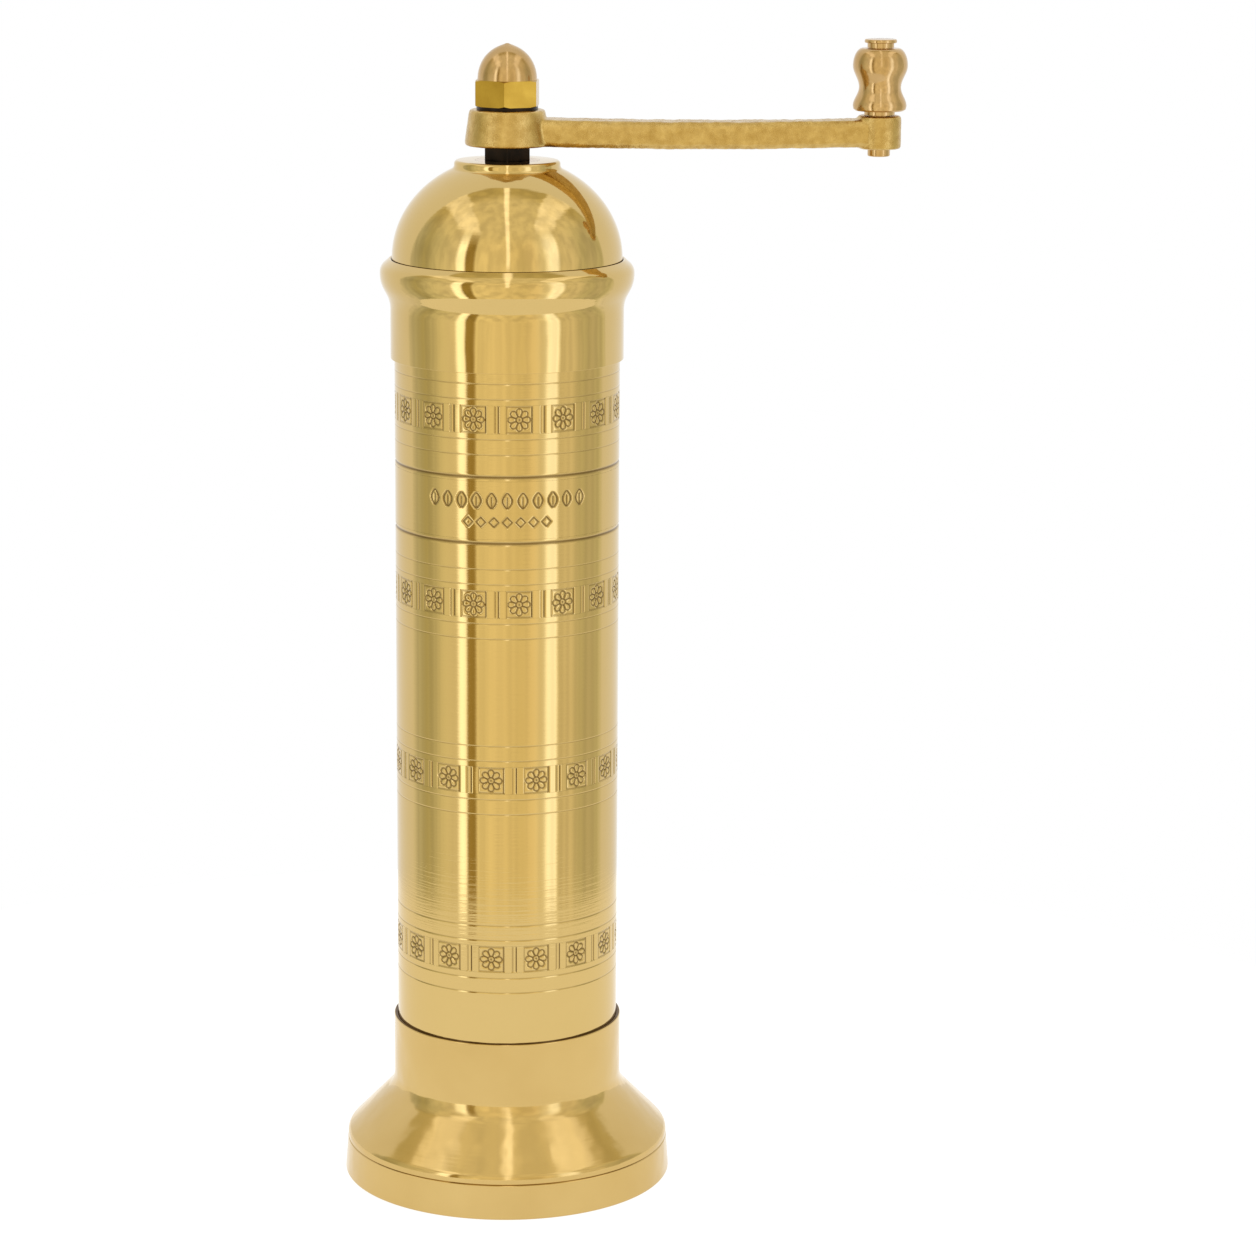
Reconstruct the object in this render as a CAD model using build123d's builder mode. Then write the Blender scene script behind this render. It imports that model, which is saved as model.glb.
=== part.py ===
# Hand mill with a cylindrical barrel, a domed lid and a crank on top.
# Millimetres. +Z is up, the origin is the centre of the foot's underside,
# and the crank points along +X.
import math
import os

from build123d import *

os.makedirs("parts", exist_ok=True)

# ---- clearances ----
running_gap = 0.05  # radial gap of turning and sliding fits
seat_gap = 0.02  # radial gap of pieces that are fixed to each other

# ---- foot ----
foot_r = 33.15  # radius on the table
foot_band_height = 7.9  # plain band below the flare
foot_band_taper = 0.6  # how much the band narrows to its top
foot_shoulder_r = 2.0  # convex round from band to flare
foot_flare_r = 5.5  # concave round from flare to collar
foot_flare_top = 20.8  # where the collar becomes straight
foot_wall = 1.2
rim_groove_r = 0.28
collar_wall = 0.7
collar_height = 12.2
floor_recess = 1.6
floor_thickness = 1.0
seat_thickness = 1.7
seat_width = 1.85

# ---- barrel ----
tube_r = 22.225
tube_wall = 1.0
tube_length = 159.5
band_count = 4  # rows of stamped ornament
band_below_lid = 9.0  # from the lid's skirt to the top row's middle
band_above_collar = 17.5  # from the collar to the bottom row's middle
groove_offsets = (3.9, 6.9)  # turned lines above and below each row
panel_offsets = (6.1, 6.9)  # double lines of the plain panel below the top row
groove_r = 0.15

# ---- upper guide ----
guide_drop = 10.0  # from the tube's top edge down to the strap's underside
guide_thickness = 2.0
guide_width = 10.0
guide_tab = 1.5
guide_tab_height = 7.0
guide_hub_wall = 2.6
guide_hub_height = 5.0
guide_rivet_r = 1.25

# ---- burr carrier and lower bridge ----
bridge_lift = 2.7  # from the tube's lower edge up to the bridge
bridge_thickness = 2.8
bridge_width = 10.0
bridge_screw_r = 1.25
bridge_screw_head_r = 2.3
bridge_screw_head_height = 1.4
bridge_screw_grip = 5.0
carrier_skirt_width = 4.7
carrier_skirt_height = 10.0
carrier_web = 3.0
carrier_lip = 1.0
carrier_funnel_height = 7.0
carrier_screw_r = 1.0
carrier_screw_head_r = 1.5
carrier_screw_lift = 2.5
carrier_screw_count = 3
carrier_screw_sink = 0.08

# ---- grinding burrs ----
burr_teeth = 12
burr_gap = 0.8
tooth_depth = 0.7
rotor_height = 12.0
rotor_wall = 1.5  # least metal around the spindle
rotor_flare = 3.1  # how much wider the rotor is below
rotor_twist = 12.0
stator_wall = 1.95
stator_lift = 1.0
stator_height = 12.5
stator_grind_height = 7.5
stator_lip = 1.6

# ---- spindle, thrust pad and adjusting screw ----
spindle_side = 6.35
spindle_corner_trim = 0.115  # how much is turned off each corner
thread_r = 2.5
thread_pitch = 0.8
thread_length = 8.0
screw_tip_height = 0.6
pad_r = 2.6
pad_thickness = 1.0
thumb_r = 7.0
thumb_height = 3.0
thumb_drop = 5.7  # plain neck between the bridge and the thumb wheel
thumb_notches = 18
thumb_notch_r = 0.5
pin_r = 1.0
pin_end = 1.1  # how far the pin stands out on each side
pin_lift = 1.5
rotor_washer_rim = 1.8
rotor_washer_thickness = 0.8

# ---- spring ----
spring_wire_r = 0.45
spring_play = 1.2  # between the coil and the spindle
spring_length = 12.0
spring_turns = 5
spring_end_gap = 0.1
spring_collar_rim = 0.75  # beyond the coil
spring_collar_height = 3.0
collar_screw_r = 1.25

# ---- lid ----
lid_overlap = 14.4  # skirt length over the tube
lid_wall = 0.7
lid_flare_lift = 9.8  # from the skirt's edge to the start of the flare
lid_bead_proud = 2.025
lid_bead_lift = 16.6
lid_ring_height = 19.6
lid_ring_top_proud = 0.125
dome_set_in = 0.45
dome_height = 19.9
dome_wall = 1.2
dome_spigot = 2.5
dome_spigot_wall = 1.0
lid_boss_r = 10.4
lid_boss_rise = 1.5
lid_boss_edge = 0.7
lid_bush_wall = 1.9
lid_bush_height = 5.4

# ---- crank ----
crank_gap = 2.8  # bare spindle between lid and hub
hub_height = 7.1
hub_bottom_r = 8.4
hub_top_r = 7.4
hub_edge = 0.5
crank_length = 72.6
arm_thickness = 5.3
arm_lift = 0.2
arm_bow = 0.55
arm_root_width = 9.0
arm_end_width = 7.0
arm_edge = 0.7
boss_r = 4.3
boss_height = 6.5
boss_drop = 0.2
boss_edge = 0.4

# ---- knob and its rivet ----
rivet_r = 2.2
rivet_tail = 1.6
rivet_shoulder_r = 3.0
rivet_shoulder = 0.7
rivet_neck_r = 2.6
rivet_neck = 0.9
rivet_head_r = 3.15
rivet_head = 0.7
knob_end_play = 0.1
knob_height = 12.1
knob_flange_r = 5.25
knob_flange_lift = 0.9
knob_neck_r = 4.1
knob_neck_lift = 4.5
knob_bulb_r = 5.35
knob_bulb_lift = 8.7
knob_top_r = 3.4

# ---- acorn nut and washer ----
washer_r = 6.0
washer_thickness = 0.6
nut_across_flats = 11.86
nut_hex_height = 5.1
nut_chamfer = 0.55
nut_turned = 25.0  # degrees from +X to the first corner
nut_step = 0.13  # how far the dome stands in from the flats
nut_dome_height = 7.0
nut_shoulder_r = 4.6
nut_shoulder_height = 4.1
nut_tip_r = 0.3
nut_tip_slope = 0.55

# ---- heights and radii that follow from the sizes above ----
collar_bore_r = tube_r + running_gap
collar_r = collar_bore_r + collar_wall
foot_band_top_r = foot_r - foot_band_taper
foot_bore_r = foot_band_top_r - foot_wall
collar_top = foot_flare_top + collar_height
tube_bottom = foot_flare_top + seat_thickness
tube_top = tube_bottom + tube_length
bore_r = tube_r - tube_wall
inner_r = bore_r - seat_gap  # what is fixed inside the tube

spindle_corner_r = spindle_side / math.sqrt(2) - spindle_corner_trim
spindle_turn_r = spindle_corner_r + running_gap
tang_side = 2 * thread_r
rotor_top_r = spindle_corner_r + rotor_wall
rotor_bottom_r = rotor_top_r + rotor_flare
rotor_washer_r = spindle_corner_r + rotor_washer_rim
pin_length = 2 * (spindle_corner_r + pin_end)
guide_hub_r = spindle_corner_r + guide_hub_wall
spring_coil_r = spindle_corner_r + spring_play + spring_wire_r
spring_collar_r = spring_coil_r + spring_wire_r + spring_collar_rim

lid_bottom = tube_top - lid_overlap
lid_ring_top = lid_bottom + lid_ring_height
lid_bore_r = tube_r + running_gap
lid_skirt_r = lid_bore_r + lid_wall
lid_bead_r = lid_skirt_r + lid_bead_proud
lid_ring_top_r = lid_skirt_r + lid_ring_top_proud
dome_base_r = lid_ring_top_r - dome_set_in
boss_meets = math.degrees(math.acos(lid_boss_r / dome_base_r))
boss_foot = lid_ring_top + dome_height * math.sin(math.radians(boss_meets))
lid_top = boss_foot + lid_boss_rise
lid_bush_r = spindle_turn_r + lid_bush_wall

bridge_bottom = tube_bottom + bridge_lift
bridge_top = bridge_bottom + bridge_thickness
screw_tip = bridge_top + screw_tip_height
spindle_bottom = screw_tip + pad_thickness
pin_height = spindle_bottom + pin_lift
rotor_washer_bottom = pin_height + pin_r
rotor_bottom = rotor_washer_bottom + rotor_washer_thickness
rotor_top = rotor_bottom + rotor_height
stator_bottom = rotor_bottom + stator_lift
stator_top = stator_bottom + stator_height
stator_slope = rotor_flare / rotor_height
stator_low_r = rotor_bottom_r - stator_slope * stator_lift + burr_gap
stator_r = stator_low_r + tooth_depth + stator_wall
stator_mouth_r = stator_r - stator_lip
carrier_web_bottom = bridge_top + carrier_skirt_height
carrier_bore_r = stator_r + seat_gap

guide_bottom = tube_top - guide_drop
guide_top = guide_bottom + guide_thickness
guide_hub_bottom = guide_top - guide_hub_height
guide_rivet_height = guide_top + guide_tab_height / 2
spring_bottom = guide_hub_bottom - spring_length
spring_collar_bottom = spring_bottom - spring_collar_height

hub_bottom = lid_top + crank_gap
hub_top = hub_bottom + hub_height
boss_bottom = hub_bottom - boss_drop
boss_top = boss_bottom + boss_height
knob_bottom = boss_top + rivet_shoulder + knob_end_play
knob_top = knob_bottom + knob_height
washer_top = hub_top + washer_thickness
nut_top = washer_top + nut_hex_height
nut_corner_r = nut_across_flats / math.sqrt(3)
nut_dome_r = nut_across_flats / 2 - nut_step
thread_top = washer_top + thread_length


def save(shape, node):
    """Label a finished piece and write it as its own STEP file."""
    shape.label = node
    export_step(shape, f"parts/{node}.step")


def tangent_points(start, end, convex_r, concave_r):
    """Where the straight flank meets the two rounds of an S-shaped flare.

    Both rounds are upright where they meet start and end.
    """
    convex = (start[0] - convex_r, start[1])
    concave = (end[0] + concave_r, end[1])
    run = math.hypot(concave[0] - convex[0], concave[1] - convex[1])
    heading = math.atan2(concave[1] - convex[1], concave[0] - convex[0])
    normal = heading - math.acos((convex_r + concave_r) / run)
    direction = (math.cos(normal), math.sin(normal))
    lower = (convex[0] + convex_r * direction[0], convex[1] + convex_r * direction[1])
    upper = (concave[0] - concave_r * direction[0], concave[1] - concave_r * direction[1])
    return lower, upper


def star(outer_r, depth, turned):
    """Corner points of a toothed ring with sharp tips at outer_r."""
    step = 180 / burr_teeth
    corners = []
    for index in range(2 * burr_teeth):
        radius = outer_r - depth * (index % 2)
        angle = math.radians(turned + index * step)
        corners.append((radius * math.cos(angle), radius * math.sin(angle)))
    return corners


# ================= foot =================
flare_start = (foot_band_top_r, foot_band_height)
flare_end = (collar_r, foot_flare_top)
flare_low, flare_high = tangent_points(flare_start, flare_end, foot_shoulder_r, foot_flare_r)
bore_start = (foot_bore_r, foot_band_height)
bore_end = (collar_bore_r, foot_flare_top)
inner_shoulder_r = foot_shoulder_r - foot_wall / 2
inner_flare_r = foot_flare_r + foot_wall
bore_low, bore_high = tangent_points(bore_start, bore_end, inner_shoulder_r, inner_flare_r)

with BuildPart() as foot_shell:
    with BuildSketch(Plane.XZ):
        with BuildLine():
            Line((foot_bore_r, 0), (foot_r, 0))
            Line((foot_r, 0), flare_start)
            RadiusArc(flare_start, flare_low, -foot_shoulder_r)
            Line(flare_low, flare_high)
            RadiusArc(flare_high, flare_end, foot_flare_r)
            Line(flare_end, (collar_r, collar_top))
            Line((collar_r, collar_top), (collar_bore_r, collar_top))
            Line((collar_bore_r, collar_top), bore_end)
            RadiusArc(bore_end, bore_high, -inner_flare_r)
            Line(bore_high, bore_low)
            RadiusArc(bore_low, bore_start, inner_shoulder_r)
            Line(bore_start, (foot_bore_r, 0))
        make_face()
    revolve(axis=Axis.Z)
    # turned line between the band and the flare
    with BuildSketch(Plane.XZ):
        with Locations(flare_start):
            Circle(rim_groove_r)
    revolve(axis=Axis.Z, mode=Mode.SUBTRACT)
save(foot_shell.part, "foot_shell")

with BuildPart() as foot_floor:
    with BuildSketch(Plane.XY.offset(floor_recess)):
        Circle(foot_bore_r - seat_gap)
    extrude(amount=floor_thickness)
save(foot_floor.part, "foot_floor")

# the ring that the tube stands on
with BuildPart() as foot_seat:
    with BuildSketch(Plane.XY.offset(foot_flare_top)):
        Circle(collar_bore_r - seat_gap)
        Circle(collar_bore_r - seat_gap - seat_width, mode=Mode.SUBTRACT)
    extrude(amount=seat_thickness)
save(foot_seat.part, "foot_seat")

# ================= barrel =================
row_low = collar_top + band_above_collar
row_high = lid_bottom - band_below_lid
row_pitch = (row_high - row_low) / (band_count - 1)
row_heights = [row_low + index * row_pitch for index in range(band_count)]
panel_middle = row_high - row_pitch / 2
groove_heights = [row + side * gap for row in row_heights for gap in groove_offsets for side in (-1, 1)]
groove_heights += [panel_middle + side * gap for gap in panel_offsets for side in (-1, 1)]

carrier_screw_height = bridge_top + carrier_screw_lift
guide_planes = [Plane((0, 0, guide_rivet_height), z_dir=(side, 0, 0)) for side in (-1, 1)]
carrier_screw_planes = []
for index in range(carrier_screw_count):
    angle = math.radians(90 + 360 * index / carrier_screw_count)
    outward = (math.cos(angle), math.sin(angle), 0)
    carrier_screw_planes.append(Plane((0, 0, carrier_screw_height), z_dir=outward))

with BuildPart() as barrel_tube:
    with BuildSketch(Plane.XY.offset(tube_bottom)):
        Circle(tube_r)
        Circle(bore_r, mode=Mode.SUBTRACT)
    extrude(amount=tube_length)
    with BuildSketch(Plane.XZ):
        with Locations([(tube_r, height) for height in groove_heights]):
            Circle(groove_r)
    revolve(axis=Axis.Z, mode=Mode.SUBTRACT)
    for plane in guide_planes:
        with BuildSketch(plane):
            Circle(guide_rivet_r + seat_gap)
        extrude(amount=tube_r + tube_wall, mode=Mode.SUBTRACT)
    for plane in carrier_screw_planes:
        with BuildSketch(plane):
            Circle(carrier_screw_head_r + seat_gap)
        extrude(amount=tube_r + tube_wall, mode=Mode.SUBTRACT)
save(barrel_tube.part, "barrel_tube")

# strap that guides the spindle's upper end, with a tab riveted to the tube at each end
with BuildPart() as guide_bridge:
    with BuildSketch(Plane.XY.offset(guide_bottom)):
        Rectangle(2 * inner_r, guide_width)
    extrude(amount=guide_thickness + guide_tab_height)
    with BuildSketch(Plane.XY.offset(guide_top)):
        Rectangle(2 * (inner_r - guide_tab), guide_width + guide_tab)
    extrude(amount=guide_tab_height, mode=Mode.SUBTRACT)
    with BuildSketch(Plane.XY.offset(guide_hub_bottom)):
        Circle(guide_hub_r)
    extrude(amount=guide_hub_height)
    with BuildSketch(Plane.XY.offset(guide_hub_bottom)):
        Circle(inner_r)
    extrude(amount=guide_hub_height + guide_tab_height, mode=Mode.INTERSECT)
    with BuildSketch(Plane.XY.offset(guide_hub_bottom)):
        Circle(spindle_turn_r)
    extrude(amount=guide_hub_height, mode=Mode.SUBTRACT)
    for plane in guide_planes:
        with BuildSketch(plane):
            Circle(guide_rivet_r + seat_gap)
        extrude(amount=tube_r, mode=Mode.SUBTRACT)
save(guide_bridge.part, "guide_bridge")

with BuildPart() as guide_rivets:
    for plane in guide_planes:
        with BuildSketch(plane.offset(inner_r - guide_tab)):
            Circle(guide_rivet_r)
        extrude(amount=guide_tab + tube_wall - seat_gap)
save(guide_rivets.part, "guide_rivets")

with BuildPart() as burr_carrier:
    skirt_r = inner_r - carrier_skirt_width
    web_top = carrier_web_bottom + carrier_web
    funnel_top = stator_top + carrier_funnel_height
    with BuildSketch(Plane.XZ):
        with BuildLine():
            Polyline(
                (carrier_bore_r, carrier_web_bottom),
                (skirt_r, carrier_web_bottom),
                (skirt_r, bridge_top),
                (inner_r, bridge_top),
                (inner_r, funnel_top),
                (inner_r - carrier_lip, funnel_top),
                (carrier_bore_r, stator_top),
                close=True,
            )
        make_face()
    revolve(axis=Axis.Z)
    for plane in carrier_screw_planes:
        with BuildSketch(plane):
            Circle(carrier_screw_r + seat_gap)
        extrude(amount=tube_r, mode=Mode.SUBTRACT)
    bridge_screw_place = inner_r - carrier_skirt_width / 2
    with BuildSketch(Plane.XY.offset(bridge_top)):
        with PolarLocations(bridge_screw_place, 2):
            Circle(bridge_screw_r + seat_gap)
    extrude(amount=bridge_screw_grip, mode=Mode.SUBTRACT)
save(burr_carrier.part, "burr_carrier")

with BuildPart() as carrier_screws:
    screw_start = inner_r - carrier_skirt_width / 2
    head_start = bore_r + seat_gap
    head_end = tube_r - carrier_screw_sink
    for plane in carrier_screw_planes:
        with BuildSketch(plane.offset(screw_start)):
            Circle(carrier_screw_r)
        extrude(amount=head_start - screw_start)
        with BuildSketch(plane.offset(head_start)):
            Circle(carrier_screw_head_r)
        extrude(amount=head_end - head_start)
save(carrier_screws.part, "carrier_screws")

# fixed burr: toothed cone below, open funnel above
stator_throat_r = stator_low_r - stator_slope * stator_grind_height
stator_throat = stator_bottom + stator_grind_height
stator_twist = rotor_twist * stator_grind_height / rotor_height
with BuildPart() as stator_burr:
    with BuildSketch(Plane.XY.offset(stator_bottom)):
        Circle(stator_r)
    extrude(amount=stator_height)
    with BuildSketch(Plane.XY.offset(stator_bottom)):
        Polygon(*star(stator_low_r + tooth_depth, tooth_depth, 0), align=None)
    with BuildSketch(Plane.XY.offset(stator_throat)):
        Polygon(*star(stator_throat_r + tooth_depth, tooth_depth, stator_twist), align=None)
    loft(ruled=True, mode=Mode.SUBTRACT)
    with BuildSketch(Plane.XY.offset(stator_throat)):
        Circle(stator_throat_r + tooth_depth)
    with BuildSketch(Plane.XY.offset(stator_top)):
        Circle(stator_mouth_r)
    loft(ruled=True, mode=Mode.SUBTRACT)
save(stator_burr.part, "stator_burr")

with BuildPart() as lower_bridge:
    with BuildSketch(Plane.XY.offset(bridge_bottom)):
        Circle(inner_r)
        Rectangle(2 * inner_r, bridge_width, mode=Mode.INTERSECT)
        Circle(thread_r + running_gap, mode=Mode.SUBTRACT)
        with PolarLocations(bridge_screw_place, 2):
            Circle(bridge_screw_r + seat_gap, mode=Mode.SUBTRACT)
    extrude(amount=bridge_thickness)
save(lower_bridge.part, "lower_bridge")

with BuildPart() as bridge_screws:
    with BuildSketch(Plane.XY.offset(bridge_bottom - bridge_screw_head_height)):
        with PolarLocations(bridge_screw_place, 2):
            Circle(bridge_screw_head_r)
    extrude(amount=bridge_screw_head_height)
    with BuildSketch(Plane.XY.offset(bridge_bottom)):
        with PolarLocations(bridge_screw_place, 2):
            Circle(bridge_screw_r)
    extrude(amount=bridge_thickness + bridge_screw_grip - seat_gap)
save(bridge_screws.part, "bridge_screws")

spring_rise = spring_length - 2 * (spring_wire_r + spring_end_gap)
with BuildPart() as return_spring:
    with BuildLine():
        coil = Helix(
            pitch=spring_rise / spring_turns,
            height=spring_rise,
            radius=spring_coil_r,
            center=(0, 0, spring_bottom + spring_wire_r + spring_end_gap),
        )
    with BuildSketch(Plane(origin=coil @ 0, z_dir=coil % 0)):
        Circle(spring_wire_r)
    sweep(is_frenet=True)
save(return_spring.part, "return_spring")

# ================= thrust pad and adjusting screw =================
with BuildPart() as thrust_pad:
    with BuildSketch(Plane.XY.offset(screw_tip)):
        Circle(pad_r)
    extrude(amount=pad_thickness)
save(thrust_pad.part, "thrust_pad")

thumb_top = bridge_bottom - thumb_drop
with BuildPart() as adjuster_screw:
    with BuildSketch(Plane.XY.offset(thumb_top - thumb_height)):
        Circle(thumb_r)
        with PolarLocations(thumb_r, thumb_notches):
            Circle(thumb_notch_r, mode=Mode.SUBTRACT)
    extrude(amount=thumb_height)
    with BuildSketch(Plane.XY.offset(thumb_top)):
        Circle(thread_r)
    extrude(amount=screw_tip - thumb_top)
save(adjuster_screw.part, "adjuster_screw")

# ================= spindle =================
with BuildPart() as spindle:
    with BuildSketch(Plane.XY.offset(spindle_bottom)):
        Rectangle(spindle_side, spindle_side, rotation=45)
        Circle(spindle_corner_r, mode=Mode.INTERSECT)
    extrude(amount=hub_bottom - spindle_bottom)
    with BuildSketch(Plane.XY.offset(hub_bottom)):
        Rectangle(tang_side, tang_side, rotation=45)
    extrude(amount=hub_height)
    with BuildSketch(Plane.XY.offset(hub_top)):
        Circle(thread_r)
    extrude(amount=thread_top - hub_top)
    with BuildSketch(Plane.YZ):
        with Locations((0, pin_height)):
            Circle(pin_r + seat_gap)
    extrude(amount=spindle_corner_r, both=True, mode=Mode.SUBTRACT)
save(spindle.part, "spindle")

with BuildPart() as rotor_burr:
    with BuildSketch(Plane.XY.offset(rotor_bottom)):
        Polygon(*star(rotor_bottom_r, tooth_depth, 0), align=None)
    with BuildSketch(Plane.XY.offset(rotor_top)):
        Polygon(*star(rotor_top_r, tooth_depth, rotor_twist), align=None)
    loft(ruled=True)
    with BuildSketch(Plane.XY.offset(rotor_bottom)):
        Rectangle(spindle_side + 2 * seat_gap, spindle_side + 2 * seat_gap, rotation=45)
        Circle(spindle_corner_r + seat_gap, mode=Mode.INTERSECT)
    extrude(amount=rotor_height, mode=Mode.SUBTRACT)
save(rotor_burr.part, "rotor_burr")

with BuildPart() as rotor_washer:
    with BuildSketch(Plane.XY.offset(rotor_washer_bottom)):
        Circle(rotor_washer_r)
        Circle(spindle_corner_r + seat_gap, mode=Mode.SUBTRACT)
    extrude(amount=rotor_washer_thickness)
save(rotor_washer.part, "rotor_washer")

with BuildPart() as rotor_pin:
    with BuildSketch(Plane.YZ):
        with Locations((0, pin_height)):
            Circle(pin_r)
    extrude(amount=pin_length / 2, both=True)
save(rotor_pin.part, "rotor_pin")

collar_screw_plane = Plane((0, 0, spring_collar_bottom + spring_collar_height / 2), z_dir=(1, 1, 0))
with BuildPart() as spring_collar:
    with BuildSketch(Plane.XY.offset(spring_collar_bottom)):
        Circle(spring_collar_r)
        Circle(spindle_corner_r + seat_gap, mode=Mode.SUBTRACT)
    extrude(amount=spring_collar_height)
    with BuildSketch(collar_screw_plane):
        Circle(collar_screw_r + seat_gap)
    extrude(amount=spring_collar_r, mode=Mode.SUBTRACT)
save(spring_collar.part, "spring_collar")

with BuildPart() as collar_screw:
    with BuildSketch(collar_screw_plane.offset(spindle_side / 2 + seat_gap)):
        Circle(collar_screw_r)
    extrude(amount=spring_collar_r - spindle_side / 2 - collar_screw_r / 2)
save(collar_screw.part, "collar_screw")

# ================= lid =================
lid_flare_start = lid_bottom + lid_flare_lift
lid_bead_height = lid_bottom + lid_bead_lift
spigot_r = bore_r - seat_gap
with BuildPart() as lid_ring:
    with BuildSketch(Plane.XZ):
        with BuildLine():
            Line((lid_bore_r, lid_bottom), (lid_skirt_r, lid_bottom))
            Line((lid_skirt_r, lid_bottom), (lid_skirt_r, lid_flare_start))
            Spline(
                (lid_skirt_r, lid_flare_start),
                (lid_bead_r, lid_bead_height),
                (lid_ring_top_r, lid_ring_top),
                tangents=((0.25, 1), (-1, 0.3)),
            )
            Polyline(
                (lid_ring_top_r, lid_ring_top),
                (bore_r, lid_ring_top),
                (bore_r, tube_top),
                (lid_bore_r, tube_top),
                (lid_bore_r, lid_bottom),
            )
        make_face()
    revolve(axis=Axis.Z)
save(lid_ring.part, "lid_ring")

inner_base_r = spigot_r - dome_spigot_wall
inner_height = dome_height - dome_wall
bush_meets = math.degrees(math.acos((lid_bush_r + seat_gap) / inner_base_r))
bush_foot = lid_ring_top + inner_height * math.sin(math.radians(bush_meets))
with BuildPart() as lid_dome:
    with BuildSketch(Plane.XZ):
        with BuildLine():
            EllipticalCenterArc((0, lid_ring_top), dome_base_r, dome_height, arc_size=boss_meets)
            Polyline(
                (lid_boss_r, boss_foot),
                (lid_boss_r, lid_top),
                (lid_bush_r + seat_gap, lid_top),
                (lid_bush_r + seat_gap, bush_foot),
            )
            EllipticalCenterArc((0, lid_ring_top), inner_base_r, inner_height, arc_size=bush_meets)
            Polyline(
                (inner_base_r, lid_ring_top),
                (inner_base_r, lid_ring_top - dome_spigot),
                (spigot_r, lid_ring_top - dome_spigot),
                (spigot_r, lid_ring_top),
                (dome_base_r, lid_ring_top),
            )
        make_face()
    revolve(axis=Axis.Z)
    top_edges = edges().filter_by(GeomType.CIRCLE).group_by(Axis.Z)[-1].sort_by(SortBy.RADIUS)
    fillet(top_edges[-1], lid_boss_edge)
save(lid_dome.part, "lid_dome")

with BuildPart() as lid_bush:
    with BuildSketch(Plane.XY.offset(lid_top - lid_bush_height)):
        Circle(lid_bush_r)
        Circle(spindle_turn_r, mode=Mode.SUBTRACT)
    extrude(amount=lid_bush_height)
save(lid_bush.part, "lid_bush")

# ================= crank =================
arm_bottom = hub_bottom + arm_lift
arm_top = arm_bottom + arm_thickness
with BuildPart() as crank_arm:
    with BuildSketch(Plane.XZ):
        with BuildLine():
            ThreePointArc(
                (0, arm_bottom),
                (crank_length / 2, arm_bottom - arm_bow),
                (crank_length, arm_bottom),
            )
            Line((crank_length, arm_bottom), (crank_length, arm_top))
            ThreePointArc(
                (crank_length, arm_top),
                (crank_length / 2, arm_top - arm_bow),
                (0, arm_top),
            )
            Line((0, arm_top), (0, arm_bottom))
        make_face()
    extrude(amount=arm_root_width, both=True)
    with BuildSketch(Plane.XY.offset(arm_bottom - arm_thickness)):
        Polygon(
            (0, -arm_root_width / 2),
            (crank_length, -arm_end_width / 2),
            (crank_length, arm_end_width / 2),
            (0, arm_root_width / 2),
            align=None,
        )
    extrude(amount=3 * arm_thickness, mode=Mode.INTERSECT)
    fillet(edges().filter_by(lambda edge: edge.length > crank_length * 0.9), arm_edge)
    # hub that clamps on the spindle's square end
    with BuildSketch(Plane.XY.offset(hub_bottom)):
        Circle(hub_bottom_r)
    with BuildSketch(Plane.XY.offset(hub_top)):
        Circle(hub_top_r)
    loft()
    # boss that holds the knob's rivet
    with BuildSketch(Plane.XY.offset(boss_bottom)):
        with Locations((crank_length, 0)):
            Circle(boss_r)
    extrude(amount=boss_height)
    rims = edges().filter_by(GeomType.CIRCLE)
    fillet(rims.filter_by_position(Axis.Z, hub_top - 0.01, hub_top + 0.01), hub_edge)
    rims = edges().filter_by(GeomType.CIRCLE)
    fillet(rims.filter_by_position(Axis.Z, boss_top - 0.01, boss_top + 0.01), boss_edge)
    with BuildSketch(Plane.XY.offset(hub_bottom)):
        Rectangle(tang_side + 2 * running_gap, tang_side + 2 * running_gap, rotation=45)
    extrude(amount=hub_height, mode=Mode.SUBTRACT)
    with BuildSketch(Plane.XY.offset(boss_bottom)):
        with Locations((crank_length, 0)):
            Circle(rivet_r + seat_gap)
    extrude(amount=boss_height, mode=Mode.SUBTRACT)
save(crank_arm.part, "crank_arm")

rivet_steps = (
    (boss_bottom - rivet_tail, boss_top, rivet_r),
    (boss_top, boss_top + rivet_shoulder, rivet_shoulder_r),
    (boss_top + rivet_shoulder, knob_top + knob_end_play, rivet_r),
    (knob_top + knob_end_play, knob_top + knob_end_play + rivet_neck, rivet_neck_r),
    (knob_top + knob_end_play + rivet_neck, knob_top + knob_end_play + rivet_neck + rivet_head, rivet_head_r),
)
with BuildPart() as knob_rivet:
    for low, high, radius in rivet_steps:
        with BuildSketch(Plane.XY.offset(low)):
            with Locations((crank_length, 0)):
                Circle(radius)
        extrude(amount=high - low)
save(knob_rivet.part, "knob_rivet")

knob_bore_r = rivet_r + running_gap
knob_axis = Axis((crank_length, 0, 0), (0, 0, 1))
with BuildPart() as knob:
    with BuildSketch(Plane.XZ.move(Location((crank_length, 0, 0)))):
        with BuildLine():
            Line((knob_bore_r, knob_bottom), (knob_flange_r - knob_flange_lift / 2, knob_bottom))
            Spline(
                (knob_flange_r - knob_flange_lift / 2, knob_bottom),
                (knob_flange_r, knob_bottom + knob_flange_lift),
                (knob_neck_r, knob_bottom + knob_neck_lift),
                (knob_bulb_r, knob_bottom + knob_bulb_lift),
                (knob_top_r, knob_top),
            )
            Line((knob_top_r, knob_top), (knob_bore_r, knob_top))
            Line((knob_bore_r, knob_top), (knob_bore_r, knob_bottom))
        make_face()
    revolve(axis=knob_axis)
save(knob.part, "knob")

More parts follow.
